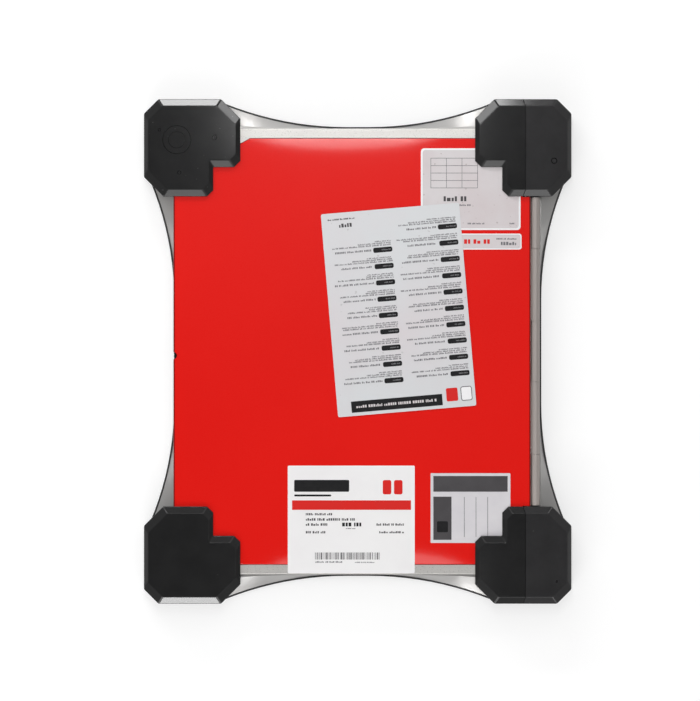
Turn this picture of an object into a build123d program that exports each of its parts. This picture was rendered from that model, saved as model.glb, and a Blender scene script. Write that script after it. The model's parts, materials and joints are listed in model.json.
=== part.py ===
from build123d import *

import os
from math import radians, sqrt, tan

# X-ray film cassette for one sheet of film, lying on its tube side with the red lid up.
# X runs across the cassette from the latch side (-X) to the hinge side (+X), Y runs along it
# from the front (-Y) to the rear (+Y), and Z is up from the table.  Millimetres.

os.makedirs("parts", exist_ok=True)

# Film and the rails of the frame round it
film_width = 240.0
film_length = 300.0
film_play = 1.0
latch_rail = 7.6
hinge_rail = 15.6
end_rail = 11.4

# Waist and flare of the frame
side_straight = 38.0
end_straight = 8.0
side_flare = 17.5
end_flare = 17.3
seat_flare = 2.0
frame_corner_cut = 8.0
flare_end_share_x = 0.87
flare_end_share_y = 0.85
lip_height = 2.6

# Layers, from the table up
foot_thickness = 1.4
bezel_thickness = 0.6
bezel_rim = 1.3
bezel_rim_height = 2.4
bezel_overlap = 3.0
tube_panel_thickness = 1.4
screen_thickness = 0.4
film_gap = 0.35
foam_thickness = 4.3
lead_thickness = 0.15
frame_depth = 8.4
lid_gap = 0.3
lid_frame_depth = 5.5
lid_panel_thickness = 1.5
stack_play = 0.5

# Lid edges
lid_end_inset = 0.4
lid_latch_overhang = 0.4
lid_edge_radius = 0.8
red_end_margin = 6.8
red_latch_lip = 1.0
red_lip_height = 5.0
red_hinge_gap = 0.6
red_hinge_lip = 0.6
red_edge_radius = 0.9
thumb_notch_radius = 2.6
thumb_notch_y = -3.0
rear_corner_cut_x = 55.7
rear_corner_cut_y = 30.9

# Corner bumpers
bumper_overhang_x = 22.8
bumper_overhang_y = 21.0
bumper_length_x = 70.1
bumper_length_y = 70.7
bumper_notch_x = 19.7
bumper_notch_y = 21.3
bumper_corner_cut = 10.5
bumper_end_cut = 14.0
bumper_nib_cut = 4.5
bumper_rise = 4.0
bumper_bevel_height = 3.0
bumper_bevel_x = 3.2
bumper_bevel_y = 5.0
bumper_foot_bevel = 1.2
bumper_gap = 0.4
foot_window_margin = 2.0

# Hinge along the hinge side
barrel_radius = 3.0
barrel_inset = 0.2
barrel_below_lid_top = 2.0
pin_radius = 1.2
pin_clearance = 0.05
knuckle_gap = 0.2
knuckle_split_outer = 75.0
knuckle_split_inner = 22.0
hinge_end_gap = 0.8
leaf_thickness = 1.2
leaf_clearance = 0.3
web_thickness = 2.0
base_leaf_reach = 11.0
lid_leaf_reach = 12.0
lid_open_angle = 100.0
swing_margin = 0.45

# Light seal
seal_width = 1.2
seal_offset = 0.7
seal_depth = 1.2
seal_proud = 0.15

# Latch in the latch-side rail
channel_width = 2.8
channel_wall = 1.6
channel_floor_above = 2.6
bar_width = 1.8
bar_half = 70.0
bar_play = 0.4
latch_travel = 6.0
cover_thickness = 0.8
cover_grip = 10.0
cover_ledge = 0.6
keeper_y = 54.0
keeper_stem = 5.0
keeper_foot = 5.0
keeper_thickness = 1.4
keeper_flange_thickness = 1.0
keeper_flange_half = 9.0
keeper_flange_width = 4.6
keeper_clearance = 0.3
spine_height = 1.2
foot_height = 1.2
slide_half = 7.0
slide_grip_count = 6
slide_grip_proud = 0.5
slide_proud = 0.8
spring_thickness = 0.4
spring_half = 15.0
spring_y = 22.0
spring_pocket_depth = 1.8
spring_end_play = 1.0

# Screws
bumper_screw_radius = 1.5
bumper_screw_head = 1.2
bumper_screw_grip = 5.0
bumper_screw_from_near = 26.7
bezel_window = 3.6
lid_bumper_screw_grip = 9.2
lid_bumper_screw_from_near = 18.7
lid_bumper_screw_inset = 3.4

# Tabs that hold the hinge leaves, keepers and latch cover in slots of the frames
tab_thickness = 1.0
tab_depth = 2.2
leaf_tab_length = 6.0
leaf_tab_pitch = 74.0
base_leaf_tab_inset = 5.0
lid_leaf_tab_inset = 8.4
keeper_tab_length = 3.0
keeper_tab_offset = 6.5
stud_length = 2.4
stud_height = 1.6
stud_spacing = 8.0

# Core of the lid
core_plate = 1.2
core_wall = 1.6
rib_thickness = 1.4
ribs_across = 5
ribs_along = 3

# Labels on the lid
label_thickness = 0.2
main_label_size = (92.3, 78.2)
main_label_x = -4.7
type_label_size = (72.5, 59.4)
type_label_inset = (7.4, 7.5)
strip_label_size = (73.0, 11.6)
strip_label_inset = (6.7, 69.5)
picture_sticker_size = (58.0, 50.7)
picture_sticker_inset = (14.8, 16.0)
instruction_card_size = (100.9, 148.1)
instruction_card_place = (29.7, 30.2)
instruction_card_turn = 4.9

# Places that follow from the sizes above
well_width = film_width + 2 * film_play
well_length = film_length + 2 * film_play
well_x = (latch_rail - hinge_rail) / 2
half_width = (well_width + latch_rail + hinge_rail) / 2
half_length = well_length / 2 + end_rail

bezel_bottom = foot_thickness
frame_bottom = bezel_bottom + bezel_thickness
lip_top = frame_bottom + lip_height
frame_top = frame_bottom + frame_depth
front_screen_bottom = frame_bottom + tube_panel_thickness
rear_screen_bottom = front_screen_bottom + screen_thickness + film_gap
foam_bottom = rear_screen_bottom + screen_thickness
lead_bottom = foam_bottom + foam_thickness
core_bottom = lead_bottom + lead_thickness
lid_bottom = frame_top + lid_gap
panel_bottom = lid_bottom + lid_frame_depth
lid_top = panel_bottom + lid_panel_thickness
bumper_top = lid_top + bumper_rise
bumper_shoulder = bumper_top - bumper_bevel_height

bumper_far_x = half_width + bumper_overhang_x
bumper_far_y = half_length + bumper_overhang_y
bumper_near_x = bumper_far_x - bumper_length_x
bumper_near_y = bumper_far_y - bumper_length_y

hinge_x = half_width - barrel_inset - barrel_radius
hinge_z = lid_top - barrel_below_lid_top
hinge_half = bumper_near_y - hinge_end_gap
swing_height = bumper_top - hinge_z
swing_setback = swing_height * tan(radians(lid_open_angle / 2)) + swing_margin
lid_swing_radius = sqrt(swing_height**2 + swing_setback**2)
block_swing_radius = lid_swing_radius - bumper_gap
block_setback = sqrt(block_swing_radius**2 - swing_height**2)

lid_left = -half_width - lid_latch_overhang
lid_half_length = half_length - lid_end_inset
red_left = lid_left - red_latch_lip
red_right = hinge_x - barrel_radius - red_hinge_gap
lid_right = red_right - red_hinge_lip
red_half_length = lid_half_length - red_end_margin
stack_width = well_width - 2 * stack_play
stack_length = well_length - 2 * stack_play

channel_x = -half_width + channel_wall + channel_width / 2
channel_half = bar_half + latch_travel + bar_play
cover_half = channel_half + cover_grip
channel_floor = frame_bottom + channel_floor_above
cover_bottom = frame_top - cover_thickness
cover_width = channel_width + 2 * cover_ledge
bar_bottom = channel_floor + bar_play
bar_top = cover_bottom - bar_play / 2
keeper_foot_bottom = bar_bottom + spine_height + keeper_clearance
tongue_bottom = keeper_foot_bottom + foot_height + keeper_clearance
tongue_start = keeper_stem / 2 + keeper_clearance + latch_travel
slot_end = keeper_stem / 2 + keeper_foot + latch_travel + 2 * keeper_clearance
slide_top = bar_top - bar_play / 2
slide_y = thumb_notch_y + latch_travel / 2
studs = [
    (
        slide_y + end * stud_spacing / 2 - stud_length / 2,
        (bar_bottom + bar_top - stud_height) / 2,
        slide_y + end * stud_spacing / 2 + stud_length / 2,
        (bar_bottom + bar_top + stud_height) / 2,
    )
    for end in (1, -1)
]
four_corners = [(side, end) for side in (1, -1) for end in (1, -1)]
foot_screw_x = bumper_near_x + bumper_screw_from_near
foot_screw_y = half_length - end_rail / 2
foot_screws = [(side * foot_screw_x, end * foot_screw_y) for side, end in four_corners]
lid_bumper_screw_x = bumper_near_x + lid_bumper_screw_from_near
lid_bumper_screw_y = lid_half_length - lid_bumper_screw_inset
lid_bumper_screws_at = [
    (side * lid_bumper_screw_x, end * lid_bumper_screw_y) for side, end in four_corners
]
leaf_tab_y = (-leaf_tab_pitch, 0.0, leaf_tab_pitch)
base_leaf_tab_x = half_width - barrel_inset - web_thickness - base_leaf_tab_inset
base_leaf_tabs = [(base_leaf_tab_x, y, frame_top - leaf_thickness) for y in leaf_tab_y]
lid_leaf_tabs = [
    (hinge_x - lid_leaf_tab_inset, y, panel_bottom - leaf_thickness) for y in leaf_tab_y
]
keeper_tabs = [
    (channel_x, keeper + end * keeper_tab_offset, lid_bottom + keeper_flange_thickness)
    for keeper in (-keeper_y, keeper_y)
    for end in (1, -1)
]
cover_tab_y = (channel_half + cover_half) / 2
cover_tabs = [(channel_x, end * cover_tab_y, cover_bottom) for end in (1, -1)]
base_knuckles = (
    (-hinge_half, -knuckle_split_outer),
    (-knuckle_split_inner, knuckle_split_inner),
    (knuckle_split_outer, hinge_half),
)
lid_knuckles = (
    (-knuckle_split_outer + knuckle_gap, -knuckle_split_inner - knuckle_gap),
    (knuckle_split_inner + knuckle_gap, knuckle_split_outer - knuckle_gap),
)
corners = (("latch", -1), ("hinge", 1))
ends = (("rear", 1), ("front", -1))
underside = (Align.CENTER, Align.CENTER, Align.MIN)
hanging = (Align.CENTER, Align.CENTER, Align.MAX)


def finish(piece, name):
    """Name a finished piece and write it."""
    piece.part.label = name
    export_step(piece.part, f"parts/{name}.step")


def waisted_outline(side_reach, end_reach):
    """Outline of the frame from above: straight waists that flare in arcs to cut corners."""
    corner_x = half_width + side_reach
    corner_y = half_length + end_reach
    flare_end_y = bumper_near_y + bumper_end_cut * flare_end_share_y
    flare_end_x = bumper_near_x + bumper_end_cut * flare_end_share_x
    with BuildLine() as outline:
        side_waist = Line((half_width, 0), (half_width, side_straight))
        side_arc = TangentArc(side_waist @ 1, (corner_x, flare_end_y), tangent=(0, 1))
        end_waist = Line((0, half_length), (end_straight, half_length))
        end_arc = TangentArc(end_waist @ 1, (flare_end_x, corner_y), tangent=(1, 0))
        Polyline(
            side_arc @ 1,
            (corner_x, corner_y - frame_corner_cut),
            (corner_x - frame_corner_cut, corner_y),
            end_arc @ 1,
        )
        mirror(about=Plane.XZ)
        mirror(about=Plane.YZ)
    make_face(outline.edges())


def bumper_plan(side, end, inset_x=0.0, inset_y=0.0):
    """L-shaped octagon of one corner bumper, seen from above."""
    far_x = bumper_far_x - inset_x
    far_y = bumper_far_y - inset_y
    near_x = bumper_near_x + inset_x
    near_y = bumper_near_y + inset_y
    notch_x = bumper_near_x + bumper_notch_x + inset_x
    notch_y = bumper_near_y + bumper_notch_y + inset_y
    points = [
        (far_x, near_y + bumper_end_cut),
        (far_x, far_y - bumper_corner_cut),
        (far_x - bumper_corner_cut, far_y),
        (near_x + bumper_end_cut, far_y),
        (near_x, far_y - bumper_end_cut),
        (near_x, notch_y + bumper_nib_cut),
        (near_x + bumper_nib_cut, notch_y),
        (notch_x, notch_y),
        (notch_x, near_y + bumper_nib_cut),
        (notch_x + bumper_nib_cut, near_y),
        (far_x - bumper_end_cut, near_y),
    ]
    with BuildLine() as outline:
        Polyline(*[(side * x, end * y) for x, y in points], close=True)
    make_face(outline.edges())


def section_along_hinge(*shapes):
    """Join rectangles given as (x_low, z_low, x_high, z_high) in the current XZ sketch."""
    for x_low, z_low, x_high, z_high in shapes:
        with Locations(((x_low + x_high) / 2, (z_low + z_high) / 2)):
            Rectangle(x_high - x_low, z_high - z_low)


def inside_corner(size, inset, end):
    """Centre of a label set in from the hinge-side edge and one end of the red panel."""
    width, length = size
    inset_x, inset_y = inset
    return (red_right - inset_x - width / 2, end * (red_half_length - inset_y - length / 2))


# Base frame: flared skirt under a level seat, with the film well cut through it
with BuildPart() as frame_blank:
    with BuildSketch(Plane.XY.offset(frame_bottom)):
        waisted_outline(side_flare, end_flare)
    extrude(amount=lip_height)
    with BuildSketch(Plane.XY.offset(lip_top)):
        waisted_outline(side_flare, end_flare)
    with BuildSketch(Plane.XY.offset(frame_top)):
        waisted_outline(seat_flare, seat_flare)
    loft(ruled=True)
with BuildPart() as frame_cuts:
    with BuildSketch(Plane.XY.offset(frame_bottom)):
        with Locations((well_x, 0)):
            Rectangle(well_width, well_length)
    extrude(amount=frame_depth)
    with BuildSketch(Plane.XY.offset(frame_top - seal_depth)):
        with Locations((well_x, 0)):
            Rectangle(
                well_width + 2 * (seal_offset + seal_width),
                well_length + 2 * (seal_offset + seal_width),
            )
            Rectangle(
                well_width + 2 * seal_offset,
                well_length + 2 * seal_offset,
                mode=Mode.SUBTRACT,
            )
    extrude(amount=seal_depth)
    with BuildSketch(Plane.XY.offset(channel_floor)):
        with Locations((channel_x, 0)):
            Rectangle(channel_width, 2 * channel_half)
    extrude(amount=frame_top - channel_floor)
    with BuildSketch(Plane.XY.offset(channel_floor - spring_pocket_depth)):
        with Locations((channel_x, spring_y)):
            Rectangle(channel_width, 2 * (spring_half + spring_end_play))
    extrude(amount=spring_pocket_depth)
    with BuildSketch(Plane.XY.offset(cover_bottom)):
        with Locations((channel_x, 0)):
            Rectangle(cover_width, 2 * cover_half)
    extrude(amount=cover_thickness)
    with BuildSketch(Plane.XY.offset(bar_bottom - bar_play / 2)):
        with Locations((-half_width, thumb_notch_y)):
            Rectangle(
                2 * (channel_wall + cover_ledge),
                2 * slide_half + latch_travel + 2 * bar_play,
            )
    extrude(amount=frame_top)
    with BuildSketch(Plane.XY.offset(frame_top - leaf_thickness)):
        with Locations((half_width - base_leaf_reach / 2 - barrel_inset, 0)):
            Rectangle(base_leaf_reach + 2 * barrel_inset, 2 * hinge_half)
    extrude(amount=leaf_thickness)
    with Locations((half_width, 0, frame_top)):
        Box(2 * barrel_inset, 2 * hinge_half, 2 * leaf_thickness)
with BuildPart() as base_frame:
    add(frame_blank.part)
    add(frame_cuts.part, mode=Mode.SUBTRACT)
    with Locations(*base_leaf_tabs):
        Box(tab_thickness, leaf_tab_length, tab_depth, align=hanging, mode=Mode.SUBTRACT)
    with Locations(*cover_tabs):
        Box(tab_thickness, keeper_tab_length, tab_depth, align=hanging, mode=Mode.SUBTRACT)
    with Locations(*[(x, y, frame_bottom) for x, y in foot_screws]):
        Cylinder(bumper_screw_radius, bumper_screw_grip, align=underside, mode=Mode.SUBTRACT)
finish(base_frame, "base_frame")

# Tube side: black trim with a rim round the skirt and square windows for the foot screws,
# then the window sheet and the front screen
with BuildPart() as bezel_envelope:
    with BuildSketch(Plane.XY.offset(bezel_bottom)):
        waisted_outline(side_flare, end_flare)
        offset(amount=bezel_rim, kind=Kind.INTERSECTION)
    extrude(amount=bezel_thickness + bezel_rim_height)
with BuildPart() as tube_bezel:
    add(bezel_envelope.part)
    with BuildSketch(Plane.XY.offset(frame_bottom)):
        waisted_outline(side_flare, end_flare)
    extrude(amount=bezel_rim_height, mode=Mode.SUBTRACT)
    with BuildSketch(Plane.XY.offset(bezel_bottom)):
        with Locations((well_x, 0)):
            Rectangle(well_width - 2 * bezel_overlap, well_length - 2 * bezel_overlap)
    extrude(amount=bezel_thickness, mode=Mode.SUBTRACT)
    with Locations(*[(x, y, bezel_bottom) for x, y in foot_screws]):
        Box(bezel_window, bezel_window, bezel_thickness, align=underside, mode=Mode.SUBTRACT)
finish(tube_bezel, "tube_bezel")

with BuildPart() as tube_panel:
    with BuildSketch(Plane.XY.offset(frame_bottom)):
        with Locations((well_x, 0)):
            Rectangle(well_width, well_length)
    extrude(amount=tube_panel_thickness)
finish(tube_panel, "tube_panel")

with BuildPart() as light_seal:
    with BuildSketch(Plane.XY.offset(frame_top - seal_depth)):
        with Locations((well_x, 0)):
            Rectangle(
                well_width + 2 * (seal_offset + seal_width),
                well_length + 2 * (seal_offset + seal_width),
            )
            Rectangle(
                well_width + 2 * seal_offset,
                well_length + 2 * seal_offset,
                mode=Mode.SUBTRACT,
            )
    extrude(amount=seal_depth + seal_proud)
finish(light_seal, "light_seal")

# Base bumpers wrap the flared corners; on the hinge side they also stand up beside the lid.
# Each is held by one screw from below, countersunk at 45 degrees in its foot.
for side_name, side in corners:
    for end_name, end in ends:
        with BuildPart() as base_bumper:
            with BuildSketch(Plane.XY):
                bumper_plan(side, end, bumper_foot_bevel, bumper_foot_bevel)
            with BuildSketch(Plane.XY.offset(bumper_foot_bevel)):
                bumper_plan(side, end)
            loft(ruled=True)
            top = bumper_shoulder if side == 1 else frame_top
            with BuildSketch(Plane.XY.offset(bumper_foot_bevel)):
                bumper_plan(side, end)
            extrude(amount=top - bumper_foot_bevel)
            if side == 1:
                with BuildSketch(Plane.XY.offset(bumper_shoulder)):
                    bumper_plan(side, end)
                with BuildSketch(Plane.XY.offset(bumper_top)):
                    bumper_plan(side, end, bumper_bevel_x, bumper_bevel_y)
                loft(ruled=True)
                with BuildSketch(Plane.XZ):
                    section_along_hinge(
                        (0, 0, bumper_far_x, frame_top),
                        (hinge_x - block_setback, 0, bumper_far_x, bumper_top),
                    )
                    with Locations((hinge_x, hinge_z)):
                        Circle(block_swing_radius)
                extrude(amount=bumper_far_y, both=True, mode=Mode.INTERSECT)
            add(frame_blank.part, mode=Mode.SUBTRACT)
            add(bezel_envelope.part, mode=Mode.SUBTRACT)
            with Locations((well_x, 0, 0)):
                Box(
                    well_width - 2 * foot_window_margin,
                    well_length - 2 * foot_window_margin,
                    2 * frame_top,
                    mode=Mode.SUBTRACT,
                )
            with Locations((side * foot_screw_x, end * foot_screw_y, foot_thickness)):
                Cone(
                    bumper_screw_radius + foot_thickness,
                    bumper_screw_radius,
                    foot_thickness,
                    align=hanging,
                    mode=Mode.SUBTRACT,
                )
        finish(base_bumper, f"base_bumper_{side_name}_{end_name}")

with BuildPart() as base_bumper_screws:
    with Locations(*[(x, y, foot_thickness) for x, y in foot_screws]):
        Cone(
            bumper_screw_radius + bumper_screw_head,
            bumper_screw_radius,
            bumper_screw_head,
            align=hanging,
        )
        Cylinder(bumper_screw_radius, bezel_thickness + bumper_screw_grip, align=underside)
finish(base_bumper_screws, "base_bumper_screws")


# Hinge: long knuckles of the two leaves alternate on one pin
def across_hinge(y_far):
    """Plane across the hinge at the rear end of one stretch of it, facing the front."""
    return Plane.XZ.offset(-y_far)


with BuildPart() as base_hinge_leaf:
    with BuildSketch(across_hinge(hinge_half)):
        section_along_hinge(
            (half_width - barrel_inset - base_leaf_reach, frame_top - leaf_thickness,
             half_width - barrel_inset, frame_top),
            (half_width - barrel_inset - web_thickness, frame_top - leaf_thickness,
             half_width - barrel_inset, hinge_z - barrel_radius - leaf_clearance),
        )
    extrude(amount=2 * hinge_half)
    for y_low, y_high in base_knuckles:
        with BuildSketch(across_hinge(y_high)):
            section_along_hinge(
                (half_width - barrel_inset - web_thickness, frame_top,
                 half_width - barrel_inset, hinge_z)
            )
            with Locations((hinge_x, hinge_z)):
                Circle(barrel_radius)
        extrude(amount=y_high - y_low)
    with BuildSketch(across_hinge(hinge_half)):
        with Locations((hinge_x, hinge_z)):
            Circle(pin_radius + pin_clearance)
    extrude(amount=2 * hinge_half, mode=Mode.SUBTRACT)
    with Locations(*base_leaf_tabs):
        Box(tab_thickness, leaf_tab_length, tab_depth, align=hanging)
finish(base_hinge_leaf, "base_hinge_leaf")

with BuildPart() as lid_hinge_leaf:
    with BuildSketch(across_hinge(hinge_half)):
        section_along_hinge(
            (hinge_x - lid_leaf_reach, panel_bottom - leaf_thickness,
             hinge_x - barrel_radius - leaf_clearance, panel_bottom)
        )
    extrude(amount=2 * hinge_half)
    for y_low, y_high in lid_knuckles:
        with BuildSketch(across_hinge(y_high)):
            section_along_hinge(
                (hinge_x - barrel_radius - leaf_clearance, panel_bottom - leaf_thickness,
                 hinge_x, panel_bottom)
            )
            with Locations((hinge_x, hinge_z)):
                Circle(barrel_radius)
        extrude(amount=y_high - y_low)
    with BuildSketch(across_hinge(hinge_half)):
        with Locations((hinge_x, hinge_z)):
            Circle(pin_radius + pin_clearance)
    extrude(amount=2 * hinge_half, mode=Mode.SUBTRACT)
    with Locations(*lid_leaf_tabs):
        Box(tab_thickness, leaf_tab_length, tab_depth, align=hanging)
finish(lid_hinge_leaf, "lid_hinge_leaf")

with BuildPart() as hinge_pin:
    with BuildSketch(across_hinge(hinge_half)):
        with Locations((hinge_x, hinge_z)):
            Circle(pin_radius)
    extrude(amount=2 * hinge_half)
finish(hinge_pin, "hinge_pin")

# Latch: a bar with two tongues slides in its channel, worked by a finger slide in the side wall
with BuildPart() as latch_bar:
    with BuildSketch(Plane.YZ.offset(channel_x - bar_width / 2)):
        section_along_hinge((-bar_half, bar_bottom, bar_half, bar_top))
        for keeper in (-keeper_y, keeper_y):
            with BuildLine():
                Polyline(
                    (keeper - keeper_stem / 2 - 2 * keeper_clearance, bar_bottom + spine_height),
                    (keeper - keeper_stem / 2 - 2 * keeper_clearance, bar_top),
                    (keeper + tongue_start, bar_top),
                    (keeper + tongue_start, tongue_bottom),
                    (keeper + slot_end, tongue_bottom),
                    (keeper + slot_end, bar_bottom + spine_height),
                    close=True,
                )
            make_face(mode=Mode.SUBTRACT)
        with Locations((spring_y, bar_bottom), (spring_y + latch_travel, bar_bottom)):
            Circle(spring_thickness, mode=Mode.SUBTRACT)
    extrude(amount=bar_width)
    with BuildSketch(Plane.YZ.offset(channel_x - bar_width / 2)):
        section_along_hinge(*studs)
    extrude(amount=bar_width, mode=Mode.SUBTRACT)
finish(latch_bar, "latch_bar")

slide_back = channel_x - bar_width / 2
slide_front = -half_width - slide_proud
with BuildPart() as latch_slide:
    with BuildSketch(Plane.YZ.offset(slide_front)):
        section_along_hinge((slide_y - slide_half, bar_bottom, slide_y + slide_half, slide_top))
    extrude(amount=slide_back - slide_front)
    with BuildSketch(Plane.YZ.offset(slide_front)):
        with Locations((slide_y, (bar_bottom + slide_top) / 2)):
            with GridLocations(2 * slide_half / slide_grip_count, 0, slide_grip_count, 1):
                Rectangle(slide_half / slide_grip_count, slide_top - bar_bottom)
    extrude(amount=-slide_grip_proud)
    with BuildSketch(Plane.YZ.offset(slide_back)):
        section_along_hinge(*studs)
    extrude(amount=bar_width)
finish(latch_slide, "latch_slide")

with BuildPart() as latch_cover:
    with BuildSketch(Plane.XY.offset(cover_bottom)):
        with Locations((channel_x, 0)):
            Rectangle(cover_width, 2 * cover_half)
        for keeper in (-keeper_y, keeper_y):
            with Locations((channel_x, keeper + keeper_foot / 2)):
                Rectangle(
                    keeper_thickness + 3 * keeper_clearance,
                    keeper_stem + keeper_foot + 4 * keeper_clearance,
                    mode=Mode.SUBTRACT,
                )
    extrude(amount=cover_thickness)
    with Locations(*cover_tabs):
        Box(tab_thickness, keeper_tab_length, tab_depth, align=hanging)
finish(latch_cover, "latch_cover")

spring_foot = channel_floor - spring_pocket_depth
spring_crest = bar_bottom - spring_thickness / 4
with BuildPart() as latch_spring:
    with BuildSketch(Plane.YZ.offset(channel_x - bar_width / 2)):
        with BuildLine():
            upper = ThreePointArc(
                (spring_y - spring_half, spring_foot + spring_thickness),
                (spring_y, spring_crest),
                (spring_y + spring_half, spring_foot + spring_thickness),
            )
            lower = ThreePointArc(
                (spring_y - spring_half, spring_foot),
                (spring_y, spring_crest - spring_thickness),
                (spring_y + spring_half, spring_foot),
            )
            Line(upper @ 0, lower @ 0)
            Line(upper @ 1, lower @ 1)
        make_face()
    extrude(amount=bar_width)
finish(latch_spring, "latch_spring")


# Lid
def red_outline():
    """Outline of the red panel from above, with its hidden rear corner cut back."""
    with BuildLine() as outline:
        Polyline(
            (red_left, -red_half_length),
            (red_right, -red_half_length),
            (red_right, red_half_length),
            (red_left + rear_corner_cut_x, red_half_length),
            (red_left, red_half_length - rear_corner_cut_y),
            close=True,
        )
    make_face(outline.edges())


with BuildPart() as swing_relief:
    for end in (1, -1):
        relief_start = bumper_near_y - hinge_end_gap / 2
        with BuildSketch(Plane.XZ.offset(-end * relief_start)):
            section_along_hinge(
                (hinge_x - swing_setback, frame_bottom, bumper_far_x, bumper_top + 1)
            )
            with Locations((hinge_x, hinge_z)):
                Circle(lid_swing_radius)
        extrude(amount=-end * (bumper_far_y - relief_start))

with BuildPart() as lid_frame:
    with BuildSketch(Plane.XY.offset(lid_bottom)):
        with Locations(((lid_left + lid_right) / 2, 0)):
            Rectangle(lid_right - lid_left, 2 * lid_half_length)
    extrude(amount=lid_top - lid_bottom)
    crest_edges = lid_frame.edges().filter_by(Axis.X).group_by(Axis.Z)[-1]
    fillet(crest_edges, lid_edge_radius)
    with BuildSketch(Plane.XY.offset(panel_bottom)):
        red_outline()
    extrude(amount=lid_panel_thickness, mode=Mode.SUBTRACT)
    with BuildSketch(Plane.XY.offset(lid_bottom)):
        with Locations((well_x, 0)):
            Rectangle(stack_width, stack_length)
    extrude(amount=lid_frame_depth, mode=Mode.SUBTRACT)
    with BuildSketch(Plane.XY.offset(panel_bottom - leaf_thickness)):
        with Locations((lid_right, 0)):
            Rectangle(2 * (lid_leaf_reach - hinge_x + lid_right), 2 * hinge_half)
    extrude(amount=leaf_thickness, mode=Mode.SUBTRACT)
    add(swing_relief.part, mode=Mode.SUBTRACT)
    with Locations((red_left, thumb_notch_y, lid_bottom)):
        Cylinder(
            thumb_notch_radius, lid_top - lid_bottom, align=underside, mode=Mode.SUBTRACT
        )
    for keeper in (-keeper_y, keeper_y):
        with Locations((channel_x, keeper, lid_bottom)):
            Box(
                keeper_flange_width,
                2 * keeper_flange_half,
                keeper_flange_thickness,
                align=underside,
                mode=Mode.SUBTRACT,
            )
    with Locations(*keeper_tabs):
        Box(tab_thickness, keeper_tab_length, tab_depth, align=underside, mode=Mode.SUBTRACT)
    with Locations(*lid_leaf_tabs):
        Box(tab_thickness, leaf_tab_length, tab_depth, align=hanging, mode=Mode.SUBTRACT)
    with Locations(*[(x, y, lid_bottom) for x, y in lid_bumper_screws_at]):
        Cylinder(bumper_screw_radius, lid_top - lid_bottom, align=underside, mode=Mode.SUBTRACT)
finish(lid_frame, "lid_frame")

with BuildPart() as lid_panel:
    with BuildSketch(Plane.XY.offset(panel_bottom)):
        red_outline()
    extrude(amount=lid_panel_thickness)
    with BuildSketch(Plane.XY.offset(panel_bottom - red_lip_height)):
        with Locations(((red_left + lid_left) / 2, -rear_corner_cut_y / 2)):
            Rectangle(red_latch_lip, 2 * red_half_length - rear_corner_cut_y)
    extrude(amount=red_lip_height)
    fillet(lid_panel.faces().sort_by(Axis.Z)[-1].edges(), red_edge_radius)
    add(swing_relief.part, mode=Mode.SUBTRACT)
    with Locations((red_left, thumb_notch_y, lid_bottom)):
        Cylinder(
            thumb_notch_radius, lid_top - lid_bottom, align=underside, mode=Mode.SUBTRACT
        )
finish(lid_panel, "lid_panel")

with BuildPart() as lid_core:
    with BuildSketch(Plane.XY.offset(core_bottom)):
        with Locations((well_x, 0)):
            Rectangle(stack_width, stack_length)
    extrude(amount=core_plate)
    with BuildSketch(Plane.XY.offset(core_bottom + core_plate)):
        with Locations((well_x, 0)):
            Rectangle(stack_width, stack_length)
            Rectangle(
                stack_width - 2 * core_wall, stack_length - 2 * core_wall, mode=Mode.SUBTRACT
            )
            with GridLocations(0, stack_length / (ribs_across + 1), 1, ribs_across):
                Rectangle(stack_width - core_wall, rib_thickness)
            with GridLocations(stack_width / (ribs_along + 1), 0, ribs_along, 1):
                Rectangle(rib_thickness, stack_length - core_wall)
    extrude(amount=panel_bottom - core_bottom - core_plate)
finish(lid_core, "lid_core")

for layer_name, layer_bottom, layer_thickness in (
    ("front_screen", front_screen_bottom, screen_thickness),
    ("lead_foil", lead_bottom, lead_thickness),
    ("foam_pad", foam_bottom, foam_thickness),
    ("rear_screen", rear_screen_bottom, screen_thickness),
):
    with BuildPart() as layer:
        with Locations((well_x, 0, layer_bottom)):
            Box(film_width, film_length, layer_thickness, align=underside)
    finish(layer, layer_name)

with BuildPart() as latch_keepers:
    for keeper in (-keeper_y, keeper_y):
        with BuildSketch(Plane.YZ.offset(channel_x - keeper_thickness / 2)):
            section_along_hinge(
                (keeper - keeper_stem / 2, keeper_foot_bottom,
                 keeper + keeper_stem / 2, lid_bottom),
                (keeper, keeper_foot_bottom,
                 keeper + keeper_stem / 2 + keeper_foot, keeper_foot_bottom + foot_height),
            )
        extrude(amount=keeper_thickness)
        with Locations((channel_x, keeper, lid_bottom)):
            Box(
                keeper_flange_width, 2 * keeper_flange_half, keeper_flange_thickness, align=underside
            )
    with Locations(*keeper_tabs):
        Box(tab_thickness, keeper_tab_length, tab_depth, align=underside)
finish(latch_keepers, "latch_keepers")

for side_name, side in corners:
    for end_name, end in ends:
        with BuildPart() as lid_bumper:
            with BuildSketch(Plane.XY.offset(lid_bottom)):
                bumper_plan(side, end)
            extrude(amount=bumper_shoulder - lid_bottom)
            with BuildSketch(Plane.XY.offset(bumper_shoulder)):
                bumper_plan(side, end)
            with BuildSketch(Plane.XY.offset(bumper_top)):
                bumper_plan(side, end, bumper_bevel_x, bumper_bevel_y)
            loft(ruled=True)
            with Locations((0, 0, lid_bottom)):
                Box(
                    -2 * red_left,
                    2 * lid_half_length,
                    lid_top - lid_bottom,
                    align=underside,
                    mode=Mode.SUBTRACT,
                )
            if side == 1:
                add(swing_relief.part, mode=Mode.SUBTRACT)
            with Locations((side * lid_bumper_screw_x, end * lid_bumper_screw_y, lid_top)):
                Cylinder(
                    bumper_screw_radius,
                    lid_bottom + lid_bumper_screw_grip - lid_top,
                    align=underside,
                    mode=Mode.SUBTRACT,
                )
        finish(lid_bumper, f"lid_bumper_{side_name}_{end_name}")

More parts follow.
